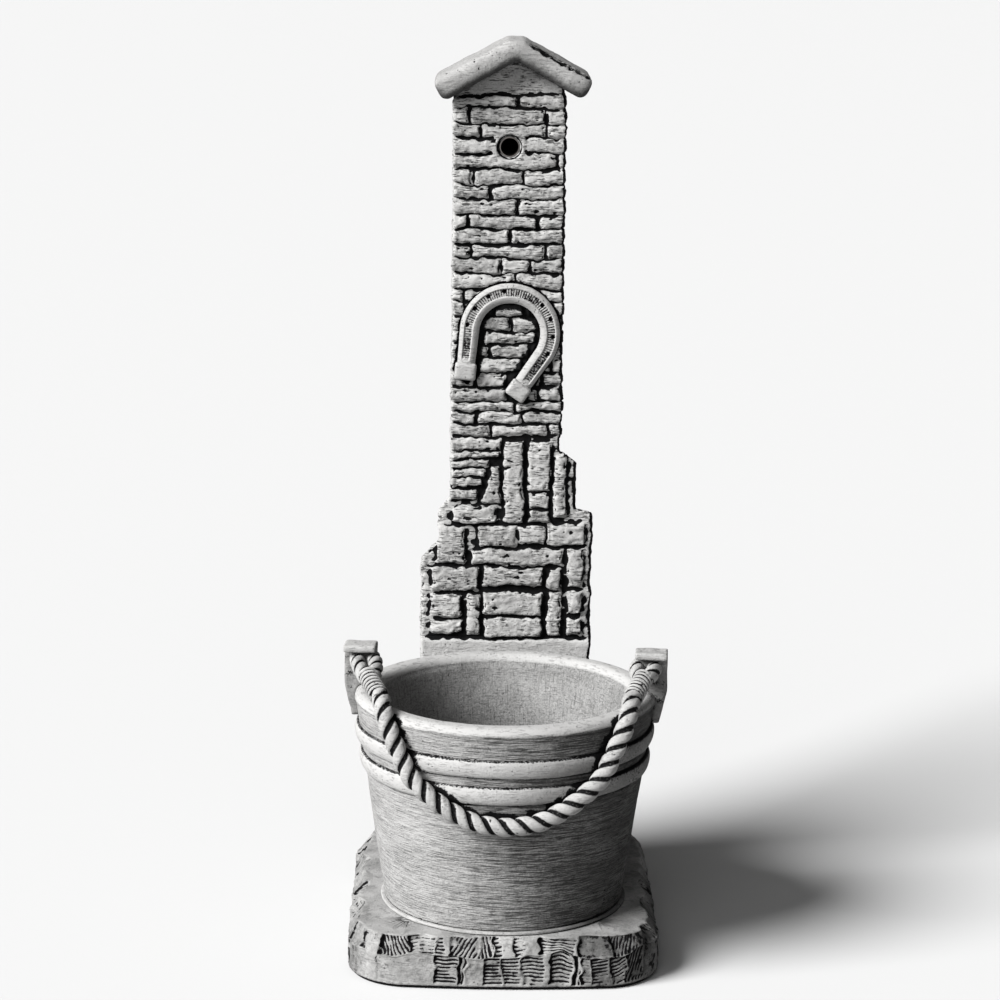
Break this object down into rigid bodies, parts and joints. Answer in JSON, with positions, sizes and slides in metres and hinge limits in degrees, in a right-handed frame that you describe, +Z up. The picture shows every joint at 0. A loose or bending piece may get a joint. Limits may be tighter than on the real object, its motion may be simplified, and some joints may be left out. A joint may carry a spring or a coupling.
{
  "type": "concrete fountain",
  "caption": "Cast-stone garden fountain: flared bucket basin with a rope swag on a hewn plinth, and behind it a stone-built column with a gable roof, spout pipe and horseshoe.",
  "frame": {"origin": "bottom centre of the bounding box, on the ground", "axes": "+Z up, the front with the bucket faces -Y, +X is to the viewer's right"},
  "size_m": [0.3512, 0.4273, 0.9752],
  "materials": {
    "cast_stone": "rough, dark antique wash",
    "mortar": "rough",
    "copper": "dull copper",
    "steel": "brushed stainless",
    "pump_plastic": "matte black",
    "dial_plastic": "matte grey",
    "rubber": "matte",
    "shaft_ceramic": "polished"
  },
  "bodies": {
    "fountain": {"plinth": "cast_stone", "bucket": "cast_stone", "upper_hoop": "cast_stone", "lower_hoop": "cast_stone", "left_ear": "cast_stone", "right_ear": "cast_stone", "rope_swag": "cast_stone", "rope_whippings": "cast_stone", "rope_eyes": "cast_stone", "horseshoe": "cast_stone", "column": "cast_stone", "roof": "cast_stone", "bucket_bed": "mortar", "column_bed": "mortar", "spout_pipe": "copper", "inlet_pipe": "copper", "inlet_elbow": "copper", "spout_elbow": "copper", "riser_pipe": "copper", "column_dowels": "steel", "roof_dowel": "steel", "pipe_clips": "steel", "hose_clips": "steel", "pump_body": "pump_plastic", "pump_cover": "pump_plastic", "wall_grommet": "rubber", "pump_feet": "rubber", "feed_hose": "rubber", "impeller_shaft": "shaft_ceramic"},
    "impeller": {"impeller": "dial_plastic"},
    "flow_dial": {"flow_dial": "dial_plastic"}
  },
  "joints": [
    {"name": "impeller_spin", "type": "hinge", "parent": "fountain", "child": "impeller", "pos_m": [0, 0.00297, 0.117], "axis": [1, 0, 0], "continuous": true},
    {"name": "flow_dial_turn", "type": "hinge", "parent": "fountain", "child": "flow_dial", "pos_m": [-0.02, 0.00297, 0.117], "axis": [-1, 0, 0], "range_deg": [0, 90]}
  ]
}
